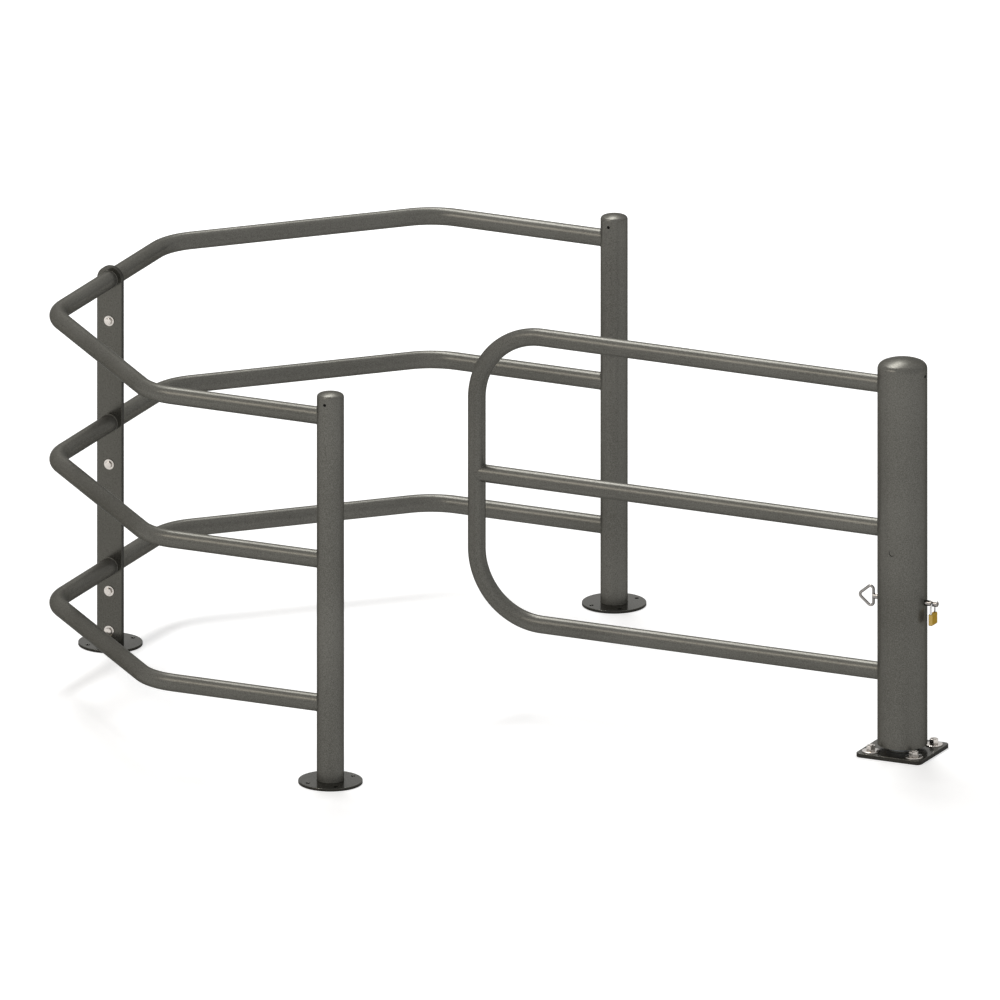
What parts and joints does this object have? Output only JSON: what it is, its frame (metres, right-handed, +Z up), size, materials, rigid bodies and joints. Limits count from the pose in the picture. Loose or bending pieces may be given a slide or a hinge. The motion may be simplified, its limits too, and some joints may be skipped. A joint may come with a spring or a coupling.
{
  "type": "swing barrier",
  "caption": "Swing barrier of bent steel tube: an open rounded enclosure round the end of a three-rail leaf that turns on a round gate post with a padlocked pin.",
  "frame": {"origin": "middle of the underside of the gate post's base plate, on the swing axis", "axes": "+Z up along the swing axis; the leaf points along -X towards the enclosure; +Y towards the right end post"},
  "size_m": [2.6329, 2.05, 1.147],
  "materials": {
    "paint": "fine-textured powder coat, dark warm grey, satin",
    "galvanised": "galvanised steel, dull",
    "bright_steel": "bright zinc-plated steel",
    "nylon": "natural nylon, matt",
    "brass": "brushed brass",
    "chrome": "polished chrome plate"
  },
  "bodies": {
    "fixed_frame": {"end_post_left": "paint", "end_post_right": "paint", "post_cap_left": "paint", "post_cap_right": "paint", "flange_left": "paint", "flange_right": "paint", "flange_centre": "paint", "joint_plate_left": "paint", "joint_plate_right": "paint", "rail_top_left": "paint", "rail_mid_left": "paint", "rail_low_left": "paint", "rail_top_right": "paint", "rail_mid_right": "paint", "rail_low_right": "paint", "joint_bolts": "bright_steel", "joint_washers": "bright_steel", "joint_nuts": "bright_steel", "base_plate": "paint", "pivot_post": "galvanised", "pivot_cap": "galvanised", "thrust_pad": "nylon", "anchor_studs": "bright_steel", "anchor_nuts": "bright_steel", "anchor_washers": "bright_steel"},
    "leaf": {"swing_sleeve": "paint", "sleeve_cap": "paint", "thrust_plate": "galvanised", "lower_bush": "nylon", "upper_bush": "nylon", "leaf_hoop": "paint", "leaf_mid_rail": "paint", "guide_screw": "paint", "lock_pin": "bright_steel", "pin_handle": "bright_steel"},
    "padlock": {"padlock_body": "brass", "padlock_shackle": "chrome"}
  },
  "joints": [
    {"name": "leaf_swing", "type": "hinge", "parent": "fixed_frame", "child": "leaf", "pos_m": [0, 0, 0.5], "axis": [0, 0, 1], "range_deg": [-35, 35]},
    {"name": "padlock_swing", "type": "hinge", "parent": "leaf", "child": "padlock", "pos_m": [0.09385, 0, 0.444], "axis": [0, 1, 0], "range_deg": [-80, 12]}
  ]
}
